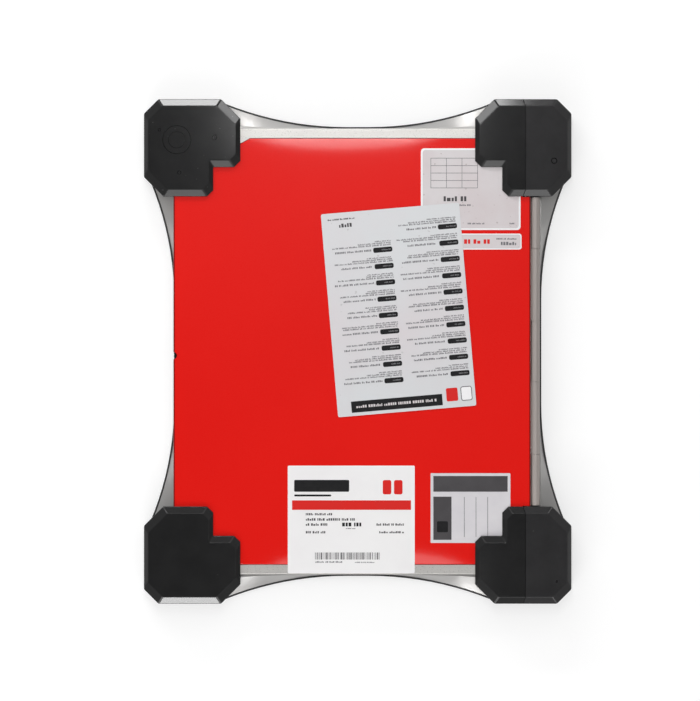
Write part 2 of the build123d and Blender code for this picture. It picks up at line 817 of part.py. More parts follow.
with BuildPart() as lid_bumper_screws:
    with Locations(*[(x, y, lid_bottom) for x, y in lid_bumper_screws_at]):
        Cylinder(bumper_screw_radius, lid_bumper_screw_grip, align=underside)
finish(lid_bumper_screws, "lid_bumper_screws")

# Labels on the lid; those that run under a bumper are trimmed where it covers them
with BuildPart() as bumper_footprints:
    for side in (1, -1):
        for end in (1, -1):
            with BuildSketch(Plane.XY.offset(lid_top)):
                bumper_plan(side, end)
            extrude(amount=bumper_rise)

main_label_y = -lid_half_length + lid_edge_radius + main_label_size[1] / 2
type_label_place = inside_corner(type_label_size, type_label_inset, 1)
strip_label_place = inside_corner(strip_label_size, strip_label_inset, 1)
picture_sticker_place = inside_corner(picture_sticker_size, picture_sticker_inset, -1)
for label_name, size, place in (
    ("main_label", main_label_size, (main_label_x, main_label_y)),
    ("type_label", type_label_size, type_label_place),
    ("strip_label", strip_label_size, strip_label_place),
    ("picture_sticker", picture_sticker_size, picture_sticker_place),
):
    with BuildPart() as label:
        with BuildSketch(Plane.XY.offset(lid_top)):
            with Locations(place):
                Rectangle(*size)
        extrude(amount=label_thickness)
        add(bumper_footprints.part, mode=Mode.SUBTRACT)
    finish(label, label_name)

# The instruction card is stuck on askew, over the corners of two labels
with BuildPart() as instruction_card:
    with BuildSketch(Plane.XY.offset(lid_top + label_thickness)):
        with Locations(Location((*instruction_card_place, 0), (0, 0, instruction_card_turn))):
            Rectangle(*instruction_card_size)
    extrude(amount=label_thickness)
finish(instruction_card, "instruction_card")
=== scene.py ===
import json
import math

import bmesh
import bpy
import numpy as np
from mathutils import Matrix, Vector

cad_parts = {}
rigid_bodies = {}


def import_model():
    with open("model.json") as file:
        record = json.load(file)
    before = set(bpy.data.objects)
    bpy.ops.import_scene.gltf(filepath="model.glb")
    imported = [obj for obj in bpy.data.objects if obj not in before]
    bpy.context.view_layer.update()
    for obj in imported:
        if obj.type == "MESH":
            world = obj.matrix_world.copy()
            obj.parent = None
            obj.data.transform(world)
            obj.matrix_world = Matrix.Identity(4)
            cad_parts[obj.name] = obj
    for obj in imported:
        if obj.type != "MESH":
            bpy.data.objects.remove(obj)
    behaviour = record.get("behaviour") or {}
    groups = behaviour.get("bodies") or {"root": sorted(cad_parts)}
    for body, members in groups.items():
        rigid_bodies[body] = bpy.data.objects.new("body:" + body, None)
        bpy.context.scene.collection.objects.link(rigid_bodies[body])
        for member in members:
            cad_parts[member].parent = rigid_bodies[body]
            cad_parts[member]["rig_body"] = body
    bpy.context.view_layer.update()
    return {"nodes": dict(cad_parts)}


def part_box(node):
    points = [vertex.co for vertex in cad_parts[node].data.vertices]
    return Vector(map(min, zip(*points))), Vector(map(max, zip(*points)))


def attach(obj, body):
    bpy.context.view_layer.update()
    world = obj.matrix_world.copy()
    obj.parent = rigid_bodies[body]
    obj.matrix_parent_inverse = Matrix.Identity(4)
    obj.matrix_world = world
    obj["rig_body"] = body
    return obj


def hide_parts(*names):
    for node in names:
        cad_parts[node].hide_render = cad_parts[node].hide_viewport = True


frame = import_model()
nodes = frame["nodes"]

# X-ray film cassette, lying on its tube side with the red lid up.  X runs to the hinge side,
# Y to the rear, Z up.  Sizes here are in millimetres and become metres in place_mesh().
MM = 0.001
MERGE_DISTANCE = 2e-6  # metres
FLAT_ANGLE = math.radians(0.5)
SHARP_ANGLE = math.radians(28)


def node_corners(node):
    """Lowest and highest corner of a CAD node, in millimetres."""
    low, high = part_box(node)
    return np.array(low) / MM, np.array(high) / MM


LID_TOP = node_corners("lid_panel")[1][2]

# Bumpers: height of the bevel round their top, width of the round on their long edges and the
# share of it that rim and shoulder get, width of the round on the other edges, and the X
# between which the two bumpers of a hinge corner part.  Then what tells their edges apart: how
# near two heights are the same, which level edge is short, and how much of an upright edge rises.
BUMPER_TOP = node_corners("lid_bumper_latch_rear")[1][2]
BEVEL_HEIGHT = 3.0
SHOULDER = BUMPER_TOP - BEVEL_HEIGHT
BUMPER_ROUND = 0.9
RIM_SHARE = 0.45
SMALL_ROUND = 0.15
SPLIT_LOW, SPLIT_HIGH = 119.0, 123.0
SAME_HEIGHT = 0.05
SHORT_EDGE = 1.0
UPRIGHT_SHARE = 0.95


# ---------------------------------------------------------------- mesh helpers
def place_mesh(name, points, faces, finish, body, stands_for=(), smooth=True):
    """New object from points in millimetres and faces, riding on a body."""
    mesh = bpy.data.meshes.new(name)
    mesh.from_pydata((np.asarray(points, float) * MM).tolist(), [], faces)
    mesh.update()
    mesh.materials.append(finish)
    mesh.polygons.foreach_set("use_smooth", np.full(len(mesh.polygons), smooth))
    piece = bpy.data.objects.new(name, mesh)
    bpy.context.scene.collection.objects.link(piece)
    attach(piece, body)
    if stands_for:
        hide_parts(*stands_for)
    return piece


def rounded_slabs(rectangles, radius, low, high, steps=4):
    """Points and faces of flat closed slabs, one for each (x, y, width, length) about its centre.
    A point of an outline is centre + sign * (half size - r) + r * (cos t, sin t), where the
    four signs are those of the corners, t runs a quarter turn at each, and r is the radius or
    half the slab's width, whichever is less.  The outline is drawn at two heights."""
    rectangles = np.asarray(rectangles, float)
    centre, half = rectangles[:, None, :2], rectangles[:, None, 2:] / 2
    r = np.minimum(radius, half.min(axis=2, keepdims=True) * 0.98)
    signs = np.repeat([(1, 1), (-1, 1), (-1, -1), (1, -1)], steps, axis=0)
    quarter = np.linspace(0, math.pi / 2, steps)
    t = np.concatenate([quarter + k * math.pi / 2 for k in range(4)])
    outline = centre + signs * (half - r) + r * np.column_stack([np.cos(t), np.sin(t)])
    count, around = outline.shape[:2]
    points = np.empty((count, 2, around, 3))
    points[..., :2] = outline[:, None]
    points[:, 0, :, 2] = low
    points[:, 1, :, 2] = high
    first = np.arange(count)[:, None] * 2 * around + np.arange(around)
    after = np.roll(first, -1, axis=1)
    walls = np.stack([first, after, after + around, first + around], axis=-1).reshape(-1, 4)
    faces = walls.tolist() + first[:, ::-1].tolist() + (first + around).tolist()
    return points.reshape(-1, 3), faces


def turned(points, place, angle):
    """Points turned about Z by an angle in degrees and moved to a place."""
    c, s = math.cos(math.radians(angle)), math.sin(math.radians(angle))
    made = points.copy()
    made[:, :2] = points[:, :2] @ np.array([(c, s), (-s, c)]) + np.asarray(place)
    return made


def merged_copy(node, finish, whole_faces):
    """Mesh of a CAD node with its doubles merged.  Its flat faces are made whole too where none
    of them goes round a hole."""
    mesh = nodes[node].data.copy()
    for attribute in ("custom_normal", "sharp_face", "sharp_edge"):
        if attribute in mesh.attributes:
            mesh.attributes.remove(mesh.attributes[attribute])
    merge = bmesh.new()
    merge.from_mesh(mesh)
    bmesh.ops.remove_doubles(merge, verts=merge.verts, dist=MERGE_DISTANCE)
    if whole_faces:
        bmesh.ops.dissolve_limit(
            merge, angle_limit=FLAT_ANGLE, verts=merge.verts, edges=merge.edges
        )
    merge.to_mesh(mesh)
    merge.free()
    mesh.materials.clear()
    mesh.materials.append(finish)
    mesh.polygons.foreach_set("use_smooth", np.full(len(mesh.polygons), True))
    return mesh


def ease_edges(piece, name, width, segments, by_weight=False):
    """Bevel that rounds the sharp edges of a piece, or only those that carry a weight."""
    bevel = piece.modifiers.new(name, "BEVEL")
    bevel.width = width * MM
    bevel.segments = segments
    bevel.limit_method = "WEIGHT" if by_weight else "ANGLE"
    bevel.angle_limit = SHARP_ANGLE
    bevel.use_clamp_overlap = not by_weight
    bevel.miter_outer = "MITER_ARC"


def flatten_faces(piece):
    """Normals that follow the large faces, so that only the rounds between them shade softly."""
    weigh = piece.modifiers.new("flat faces", "WEIGHTED_NORMAL")
    weigh.mode = "FACE_AREA"
    weigh.weight = 100


def eased_copy(node, finish, whole_faces):
    """Merged copy of a CAD node that stands for it and rides on its body."""
    piece = bpy.data.objects.new(node + "_eased", merged_copy(node, finish, whole_faces))
    bpy.context.scene.collection.objects.link(piece)
    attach(piece, nodes[node]["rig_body"])
    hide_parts(node)
    return piece


def softened(node, finish, width, segments):
    """Eased copy whose sharp edges get a small round."""
    piece = eased_copy(node, finish, whole_faces=False)
    ease_edges(piece, "eased edges", width, segments)
    flatten_faces(piece)


def ease_bumper(node, finish):
    """Eased copy of a bumper.  Its long upright edges, its slanting corner edges, its shoulder
    and the rim of its top carry a weight and get a wide round; the others get a small one."""
    piece = eased_copy(node, finish, whole_faces=True)
    mesh = piece.data
    points = np.empty(len(mesh.vertices) * 3)
    mesh.vertices.foreach_get("co", points)
    points = points.reshape(-1, 3) / MM
    pairs = np.empty(len(mesh.edges) * 2, int)
    mesh.edges.foreach_get("vertices", pairs)
    first, second = points[pairs.reshape(-1, 2)].transpose(1, 0, 2)
    run = second - first
    length = np.linalg.norm(run, axis=1)
    rise = np.abs(run[:, 2])
    top = np.maximum(first[:, 2], second[:, 2])
    foot = np.minimum(first[:, 2], second[:, 2])
    at_top = top > BUMPER_TOP - SAME_HEIGHT
    upright = (rise > UPRIGHT_SHARE * length) & (length > BEVEL_HEIGHT)
    slanting = (np.abs(rise - BEVEL_HEIGHT) < SAME_HEIGHT) & at_top
    level = (rise < SAME_HEIGHT) & (length > SHORT_EDGE)
    rim = (foot > BUMPER_TOP - SAME_HEIGHT) & (length > SHORT_EDGE)
    shoulder = (np.abs(top - SHOULDER) < SAME_HEIGHT) & level
    at_split = (np.minimum(first[:, 0], second[:, 0]) > SPLIT_LOW) & (
        np.maximum(first[:, 0], second[:, 0]) < SPLIT_HIGH
    )
    weight = np.where(upright | slanting, 1.0, np.where(rim | shoulder, RIM_SHARE, 0.0))
    weight[at_split] = 0.0
    mesh.attributes.new("bevel_weight_edge", "FLOAT", "EDGE").data.foreach_set("value", weight)
    ease_edges(piece, "round corners", BUMPER_ROUND, 4, by_weight=True)
    ease_edges(piece, "eased edges", SMALL_ROUND, 2)
    flatten_faces(piece)


# ---------------------------------------------------------------- finishes
def new_material(name):
    """Material with its tree, its shader and the place on the object that its patterns read."""
    made = bpy.data.materials.new(name)
    made.use_nodes = True
    tree = made.node_tree
    shader = tree.nodes["Principled BSDF"]
    place = tree.nodes.new("ShaderNodeTexCoord")
    return made, tree, shader, place.outputs["Object"]


def noise(tree, place, scale, detail=3.0, roughness=0.55, stretch=None):
    """Noise on the object's own coordinates, `scale` cells to the metre."""
    if stretch:
        turn = tree.nodes.new("ShaderNodeMapping")
        turn.inputs["Scale"].default_value = stretch
        tree.links.new(place, turn.inputs["Vector"])
        place = turn.outputs["Vector"]
    made = tree.nodes.new("ShaderNodeTexNoise")
    made.inputs["Scale"].default_value = scale
    made.inputs["Detail"].default_value = detail
    made.inputs["Roughness"].default_value = roughness
    tree.links.new(place, made.inputs["Vector"])
    return made.outputs["Fac"]


def ramp(tree, value, stops):
    """Colour ramp through (position, colour) stops; a bare number stands for a grey."""
    made = tree.nodes.new("ShaderNodeValToRGB")
    band = made.color_ramp
    while len(band.elements) < len(stops):
        band.elements.new(0.5)
    for element, (position, colour) in zip(band.elements, stops):
        element.position = position
        shade = (colour, colour, colour) if isinstance(colour, (int, float)) else colour
        element.color = (*shade, 1.0)
    tree.links.new(value, made.inputs["Fac"])
    return made.outputs["Color"]


def mixed(tree, amount, first, second):
    """Mix of two colours, each a socket or a plain colour."""
    made = tree.nodes.new("ShaderNodeMix")
    made.data_type = "RGBA"
    inputs = [socket for socket in made.inputs if socket.enabled]
    for socket, value in zip(inputs, (amount, first, second)):
        if hasattr(value, "is_output"):
            tree.links.new(value, socket)
        else:
            socket.default_value = (*value, 1.0)
    return [socket for socket in made.outputs if socket.enabled][0]


def computed(tree, operation, *values):
    """Result of a maths node, each of whose values is a socket or a plain number."""
    made = tree.nodes.new("ShaderNodeMath")
    made.operation = operation
    for socket, value in zip(made.inputs, values):
        if hasattr(value, "is_output"):
            tree.links.new(value, socket)
        else:
            socket.default_value = value
    return made.outputs["Value"]


def bumped(tree, height, distance, strength):
    """Bump node on a height socket, its distance in millimetres."""
    made = tree.nodes.new("ShaderNodeBump")
    made.inputs["Strength"].default_value = strength
    made.inputs["Distance"].default_value = distance * MM
    tree.links.new(height, made.inputs["Height"])
    return made


def surface(name, colour, shade, blotch=18.0, grain=900.0, depth=0.02, rough=(0.35, 0.5),
            metallic=0.0, coat=0.0, coat_rough=0.1, specks=None, stretch=None, wave=None,
            gloss=0.5):
    """Finish whose colour drifts between two shades, with fine grain in its bump and roughness.
    Blotch and grain are cells to the metre and depth is the grain's, in millimetres.  Specks
    are (cells to the metre, cut, colour), a wave is (cells to the metre, millimetres)."""
    made, tree, shader, place = new_material(name)
    drift = noise(tree, place, blotch, detail=4.0, roughness=0.6, stretch=stretch)
    tone = ramp(tree, drift, [(0.35, shade), (0.65, colour)])
    fine = noise(tree, place, grain, detail=2.0, roughness=0.6, stretch=stretch)
    if specks:
        scale, cut, speck_colour = specks
        scatter = noise(tree, place, scale, detail=1.0, roughness=0.4)
        spots = ramp(tree, scatter, [(cut, 0.0), (cut + 0.03, 1.0)])
        tone = mixed(tree, spots, tone, speck_colour)
    tree.links.new(tone, shader.inputs["Base Color"])
    tree.links.new(
        ramp(tree, fine, [(0.3, rough[0]), (0.7, rough[1])]), shader.inputs["Roughness"]
    )
    shader.inputs["Metallic"].default_value = metallic
    shader.inputs["Specular IOR Level"].default_value = gloss
    if coat:
        shader.inputs["Coat Weight"].default_value = coat
        shader.inputs["Coat Roughness"].default_value = coat_rough
    bump = bumped(tree, fine, depth, strength=0.35)
    tree.links.new(bump.outputs["Normal"], shader.inputs["Normal"])
    if wave:
        scale, height = wave
        swell = bumped(
            tree, noise(tree, place, scale, detail=1.0, roughness=0.4), height, strength=1.0
        )
        tree.links.new(swell.outputs["Normal"], bump.inputs["Normal"])
        tree.links.new(swell.outputs["Normal"], shader.inputs["Coat Normal"])
    return made


def paint_turned_edge_shade(made, node, width, colour):
    """Painted shade on a panel's coat: its colour is mixed towards a dark shade within a width in
    millimetres of its two long sides, and wherever its normal leans where the panel turns down at
    its edge."""
    fully_dark = 0.6 * width
    leaning, level = 0.80, 0.985
    tree = made.node_tree
    shader = tree.nodes["Principled BSDF"]
    place = tree.nodes["Texture Coordinate"]
    tone = shader.inputs["Base Color"].links[0].from_socket
    low, high = node_corners(node)
    half = (high[0] - low[0]) / 2
    split = tree.nodes.new("ShaderNodeSeparateXYZ")
    tree.links.new(place.outputs["Object"], split.inputs[0])
    centred = computed(tree, "SUBTRACT", split.outputs["X"], (low[0] + high[0]) / 2 * MM)
    at_side = tree.nodes.new("ShaderNodeMapRange")
    at_side.inputs["From Min"].default_value = (half - width) * MM
    at_side.inputs["From Max"].default_value = (half - fully_dark) * MM
    tree.links.new(computed(tree, "ABSOLUTE", centred), at_side.inputs["Value"])
    lean = tree.nodes.new("ShaderNodeSeparateXYZ")
    tree.links.new(place.outputs["Normal"], lean.inputs[0])
    turned_down = ramp(tree, lean.outputs["Z"], [(leaning, 1.0), (level, 0.0)])
    either = computed(tree, "MAXIMUM", at_side.outputs["Result"], turned_down)
    tree.links.new(mixed(tree, either, tone, colour), shader.inputs["Base Color"])


def ring_marks(made, rings, height=0.35, dirt=(0.003, 0.003, 0.003)):
    """Raised mould rings with dirt in them, each (x, y, radius, width) in millimetres on the top
    of a bumper: the ring is where the distance from its middle differs from its radius by less
    than its width."""
    tree = made.node_tree
    shader = tree.nodes["Principled BSDF"]
    place = tree.nodes["Texture Coordinate"].outputs["Object"]
    marks = None
    for x, y, radius, width in rings:
        shift = tree.nodes.new("ShaderNodeVectorMath")
        shift.operation = "SUBTRACT"
        shift.inputs[1].default_value = (x * MM, y * MM, 0.0)
        flat = tree.nodes.new("ShaderNodeVectorMath")
        flat.operation = "MULTIPLY"
        flat.inputs[1].default_value = (1.0, 1.0, 0.0)
        away = tree.nodes.new("ShaderNodeVectorMath")
        away.operation = "LENGTH"
        tree.links.new(place, shift.inputs[0])
        tree.links.new(shift.outputs["Vector"], flat.inputs[0])
        tree.links.new(flat.outputs["Vector"], away.inputs[0])
        ring = computed(tree, "COMPARE", away.outputs["Value"], radius * MM, width * MM)
        marks = ring if marks is None else computed(tree, "MAXIMUM", marks, ring)
    raised = bumped(tree, marks, height, strength=0.6)
    grain = shader.inputs["Normal"].links[0].from_node
    tree.links.new(raised.outputs["Normal"], grain.inputs["Normal"])
    tone = shader.inputs["Base Color"].links[0].from_socket
    tree.links.new(mixed(tree, marks, tone, dirt), shader.inputs["Base Color"])


red_coat = surface(
    "red coat", (0.775, 0.0085, 0.0050), (0.745, 0.0070, 0.0040), blotch=6.0, grain=2400.0,
    depth=0.0006, rough=(0.26, 0.31), coat=0.7, coat_rough=0.03, wave=(9.0, 0.03), gloss=0.1,
)
# Painted shade: the red coat turns dark red along the lid panel's long edges and on its
# turned-down sides
paint_turned_edge_shade(red_coat, "lid_panel", 1.3, (0.20, 0.0010, 0.0005))
silver_coat = surface(
    "silver coat", (0.60, 0.585, 0.56), (0.55, 0.535, 0.515), blotch=14.0, grain=1500.0,
    depth=0.002, rough=(0.26, 0.36), metallic=0.35,
)
skirt_coat = surface(
    "skirt coat", (0.44, 0.43, 0.42), (0.39, 0.385, 0.38), blotch=14.0, grain=1500.0,
    depth=0.008, rough=(0.32, 0.42), metallic=0.5,
)

bumper_face = dict(blotch=60.0, grain=2600.0, depth=0.003, rough=(0.08, 0.12), gloss=0.38)
bumper_shades = ((0.0165, 0.0165, 0.0168), (0.0135, 0.0135, 0.0138))
bumper_black = surface(
    "bumper black", *bumper_shades, specks=(380.0, 0.80, (0.045, 0.045, 0.045)), **bumper_face
)
marked_black = surface(
    "marked bumper black", *bumper_shades, specks=(380.0, 0.76, (0.05, 0.05, 0.05)),
    **bumper_face
)
ring_marks(
    marked_black,
    [(-131.4, 153.8, 10.2, 0.35), (-131.4, 153.8, 6.0, 0.25), (-104.0, 155.5, 1.6, 0.4),
     (-129.5, 130.0, 1.2, 0.4), (-144.0, 161.0, 1.0, 0.4)],
)
block_black = surface(
    "block black", (0.030, 0.0295, 0.0305), (0.025, 0.0245, 0.0255),
    specks=(380.0, 0.80, (0.06, 0.06, 0.06)), **bumper_face
)
ring_marks(block_black, [(142.7, 138.5, 1.9, 0.4), (144.5, -167.0, 0.5, 0.3)])

trim_black = surface(
    "trim black", (0.024, 0.024, 0.025), (0.017, 0.017, 0.018), blotch=40.0, grain=1800.0,
    depth=0.02, rough=(0.42, 0.58),
)
slide_black = surface(
    "slide black", (0.010, 0.010, 0.0105), (0.008, 0.008, 0.0085), blotch=40.0, grain=1800.0,
    depth=0.02, rough=(0.48, 0.62), gloss=0.2,
)
hinge_grey = surface(
    "hinge grey", (0.45, 0.405, 0.38), (0.40, 0.36, 0.34), blotch=20.0, grain=1600.0,
    depth=0.006, rough=(0.44, 0.56), metallic=0.45, stretch=(3.0, 0.15, 3.0),
)
steel_bright = surface(
    "bright steel", (0.58, 0.57, 0.56), (0.50, 0.50, 0.49), blotch=50.0, grain=2200.0,
    depth=0.004, rough=(0.22, 0.34), metallic=1.0,
)
window_grey = surface(
    "window sheet grey", (0.30, 0.31, 0.32), (0.27, 0.28, 0.29), blotch=8.0, grain=1400.0,
    depth=0.01, rough=(0.45, 0.6), specks=(500.0, 0.72, (0.20, 0.20, 0.21)),
)
screen_white = surface(
    "screen white", (0.83, 0.83, 0.78), (0.79, 0.79, 0.75), blotch=10.0, grain=3000.0,
    depth=0.004, rough=(0.5, 0.62), specks=(700.0, 0.76, (0.62, 0.60, 0.52)),
)
seal_black = surface(
    "seal rubber", (0.018, 0.018, 0.018), (0.012, 0.012, 0.012), blotch=80.0, grain=2500.0,
    depth=0.03, rough=(0.7, 0.85),
)
foam_grey = surface(
    "foam grey", (0.080, 0.080, 0.085), (0.050, 0.050, 0.055), blotch=700.0, grain=1700.0,
    depth=0.5, rough=(0.85, 0.95), specks=(1400.0, 0.58, (0.015, 0.015, 0.016)),
)
lead_grey = surface(
    "lead foil grey", (0.16, 0.17, 0.18), (0.11, 0.12, 0.13), blotch=30.0, grain=900.0,
    depth=0.02, rough=(0.4, 0.6), metallic=0.9,
)
core_grey = surface(
    "core grey", (0.085, 0.085, 0.09), (0.065, 0.065, 0.07), blotch=40.0, grain=1500.0,
    depth=0.02, rough=(0.5, 0.65),
)

white_paper = dict(blotch=22.0, grain=3000.0, depth=0.003, rough=(0.30, 0.40))
label_white = surface("label white", (0.88, 0.87, 0.87), (0.85, 0.835, 0.84), **white_paper)
label_edge = surface("label edge white", (0.90, 0.89, 0.90), (0.86, 0.85, 0.86), **white_paper)
card_white = surface(
    "card white", (0.665, 0.685, 0.70), (0.675, 0.635, 0.655), blotch=9.0, grain=2600.0,
    depth=0.003, rough=(0.28, 0.40), specks=(300.0, 0.76, (0.55, 0.54, 0.55)),
)
label_grey = surface(
    "label warm grey", (0.66, 0.625, 0.635), (0.62, 0.555, 0.565), blotch=20.0, grain=2600.0,
    depth=0.003, rough=(0.30, 0.42), specks=(400.0, 0.74, (0.46, 0.40, 0.40)),
)
sticker_pale = surface(
    "sticker pale grey", (0.70, 0.68, 0.70), (0.64, 0.62, 0.65), blotch=40.0, grain=2600.0,
    depth=0.003, rough=(0.30, 0.42),
)

ink = dict(grain=2600.0, depth=0.002, rough=(0.40, 0.55), gloss=0.2)
ink_black = surface("black ink", (0.008, 0.008, 0.009), (0.012, 0.012, 0.013), 300.0, **ink)
ink_dark = surface("dark grey ink", (0.062, 0.058, 0.062), (0.074, 0.070, 0.074), 60.0, **ink)
ink_grey = surface("grey ink", (0.13, 0.13, 0.14), (0.24, 0.235, 0.245), 700.0, **ink)
ink_red = surface(
    "red ink", (0.70, 0.011, 0.007), (0.66, 0.015, 0.011), blotch=60.0, grain=2600.0,
    depth=0.002, rough=(0.35, 0.5), gloss=0.3,
)


# ---------------------------------------------------------------- frame, lid and hinge
for end_name, latch_finish in (("rear", marked_black), ("front", bumper_black)):
    ease_bumper(f"lid_bumper_latch_{end_name}", latch_finish)
    ease_bumper(f"lid_bumper_hinge_{end_name}", bumper_black)
    ease_bumper(f"base_bumper_hinge_{end_name}", block_black)
    softened(f"base_bumper_latch_{end_name}", bumper_black, 0.4, 3)

for node, finish, width, segments in (
    ("base_frame", skirt_coat, 0.35, 3),
    ("lid_frame", silver_coat, 0.2, 2),
    ("tube_bezel", trim_black, 0.2, 2),
    ("base_hinge_leaf", hinge_grey, 0.12, 2),
    ("lid_hinge_leaf", hinge_grey, 0.12, 2),
    ("latch_slide", slide_black, 0.12, 2),
):
    softened(node, finish, width, segments)

for node, finish in (
    ("lid_panel", red_coat),
    ("tube_panel", window_grey),
    ("front_screen", screen_white),
    ("rear_screen", screen_white),
    ("light_seal", seal_black),
    ("lead_foil", lead_grey),
    ("lid_core", core_grey),
    ("hinge_pin", steel_bright),
    ("latch_bar", steel_bright),
    ("latch_keepers", steel_bright),
    ("latch_spring", steel_bright),
    ("latch_cover", trim_black),
    ("base_bumper_screws", steel_bright),
    ("lid_bumper_screws", steel_bright),
):
    nodes[node].data.materials.clear()
    nodes[node].data.materials.append(finish)


# ---------------------------------------------------------------- foam pad
def crowded(count, crowding=1.8):
    """Numbers from -1 to 1 that crowd towards both ends: |t| becomes 1-(1-|t|)^1.8."""
    t = np.linspace(-1.0, 1.0, count)
    return np.sign(t) * (1 - (1 - np.abs(t)) ** crowding)


def foam_surface(low, high, along=49, across=41, flatness=16, rounding=1 / 6):
    """Closed pad: height above its middle plane is half its thickness times
    (1-|u|^16)^(1/6) (1-|v|^16)^(1/6), so that it is flat inside and rounds off at its sides."""
    grid_u, grid_v = np.meshgrid(crowded(across), crowded(along))
    body = ((1 - np.abs(grid_u) ** flatness) * (1 - np.abs(grid_v) ** flatness)) ** rounding
    centre = (low + high) / 2
    half = (high - low) / 2
    flat_x, flat_y = centre[0] + half[0] * grid_u, centre[1] + half[1] * grid_v
    top = np.dstack([flat_x, flat_y, centre[2] + half[2] * body])
    bottom = np.dstack([flat_x, flat_y, centre[2] - half[2] * body])
    return top, bottom


def foam_pad():
    """Pad that stands for the CAD node, its two skins joined where they meet."""
    touching = 1e-7  # metres
    top, bottom = foam_surface(*node_corners("foam_pad"))
    rows, columns = top.shape[:2]
    index = np.arange(rows * columns).reshape(rows, columns)
    quads = np.stack(
        [index[:-1, :-1], index[:-1, 1:], index[1:, 1:], index[1:, :-1]], axis=-1
    ).reshape(-1, 4)
    under = quads[:, ::-1] + rows * columns
    points = np.vstack([top.reshape(-1, 3), bottom.reshape(-1, 3)])
    faces = np.vstack([quads, under]).tolist()
    piece = place_mesh("foam_pad_soft", points, faces, foam_grey, "lid", ("foam_pad",))
    merge = bmesh.new()
    merge.from_mesh(piece.data)
    bmesh.ops.remove_doubles(merge, verts=merge.verts, dist=touching)
    merge.to_mesh(piece.data)
    merge.free()


foam_pad()


# ---------------------------------------------------------------- labels and their printing
# Printing is laid out from the middle of its label, as (x, y, width, length) in millimetres, and
# a second layer lies on the first.
LABEL_CORNER = 1.6
PRINT_THICKNESS = 0.03


def label(node, finish, size=None, angle=0.0, corner=LABEL_CORNER):
    """Label with round corners in the place of its CAD node, and where its printing goes: the
    middle of the label, the turn and the height of its face.  A turned label gives its size."""
    low, high = node_corners(node)
    middle = (low + high)[:2] / 2
    width, length = (high - low)[:2] if size is None else size
    points, faces = rounded_slabs([(0, 0, width, length)], corner, low[2], high[2])
    piece = place_mesh(
        node + "_cut", turned(points, middle, angle), faces, finish, "lid", (node,), smooth=False
    )
    return middle, angle, high[2]


def printed(name, where, shapes, finish, corner=0.15, layer=1):
    """Printing in one ink: flat shapes (x, y, width, length) about the middle of a label."""
    middle, angle, height = where
    low = height + (layer - 1) * PRINT_THICKNESS
    steps = 3 if corner else 1
    points, faces = rounded_slabs(shapes, corner, low, low + PRINT_THICKNESS, steps)
    piece = place_mesh(name, turned(points, middle, angle), faces, finish, "lid", smooth=False)


def words(rows, seed, letters=(2, 8)):
    """Rows of print that spell nothing: small upright marks in groups of a word's length.
    Each row is (left, right, y, height).  Widths and gaps are shares of that height."""
    narrowest, widest, mark_gap, word_gap = 0.35, 0.75, 0.22, 0.75
    least_pitch = 0.57
    low_marks, low_height = 0.33, 0.7
    dice = np.random.default_rng(seed)
    made = []
    for left, right, y, height in rows:
        most = int((right - left) / (least_pitch * height)) + 2
        wide = dice.uniform(narrowest, widest, most) * height
        tall = np.where(dice.random(most) < low_marks, low_height, 1.0) * height
        ends = np.cumsum(dice.integers(*letters, most))
        gap = np.full(most, mark_gap * height)
        gap[ends[ends < most]] = word_gap * height
        starts = left + np.cumsum(wide + gap) - wide
        kept = starts + wide < right
        low_end = y - height / 2
        made.append(np.column_stack([starts + wide / 2, low_end + tall / 2, wide, tall])[kept])
    return np.vstack(made)


def bar_code(left, right, y, height, seed):
    """Upright bars of three widths with gaps of three widths between them."""
    most, shares = 90, [0.55, 0.3, 0.15]
    dice = np.random.default_rng(seed)
    widths = dice.choice([0.28, 0.5, 0.85], most, p=shares)
    gaps = dice.choice([0.35, 0.6, 0.9], most, p=shares)
    starts = left + np.concatenate([[0.0], np.cumsum(widths + gaps)[:-1]])
    kept = starts + widths < right
    count = kept.sum()
    return np.column_stack([
        (starts + widths / 2)[kept], np.full(count, y), widths[kept], np.full(count, height)
    ])


def main_label():
    """Identification label: a framed white field, a red bar, rows of print and a bar code."""
    where = label("main_label", label_edge, corner=0.9)
    printed("main_label_field", where, [(0, 0.3, 88.6, 74.4)], label_white)
    printed("main_label_red_bar", where, [(0.2, 10.4, 86.4, 6.9)], ink_red, 0.2, 2)
    rows = [
        (-33.4, -12.5, 3.8, 1.6), (-33.4, 3.4, 0.0, 1.8), (-33.4, -17.0, -3.7, 1.8),
        (18.0, 39.0, -3.7, 1.6), (-4.0, 3.4, -6.6, 0.8), (-33.4, -17.6, -9.3, 1.7),
        (20.0, 39.0, -9.3, 1.5),
    ]
    printed("main_label_rows", where, words(rows, 3), ink_dark, 0, 2)
    bold = words([(-7.2, 8.2, -3.7, 2.7)], 4, (2, 5))
    printed("main_label_bold_row", where, bold, ink_black, 0, 2)
    code = bar_code(-26.3, 20.8, -26.6, 5.1, 11)
    printed("main_label_bar_code", where, code, ink_dark, 0, 2)
    under = words([(-26.3, -6.0, -30.9, 1.2), (2.5, 17.5, -31.2, 0.8)], 5)
    printed("main_label_small_row", where, under, ink_grey, 0, 2)
    blocks = [(-21.5, 24.4, 40.0, 8.6), (-28.0, 17.4, 27.0, 1.4)]
    printed("main_label_head_bars", where, blocks, ink_black, 0.8, 2)
    squares = [(26.0 + 8.2 * k, 23.4, 6.2, 10.4) for k in range(2)]
    printed("main_label_head_blocks", where, squares, ink_red, 1.2, 2)


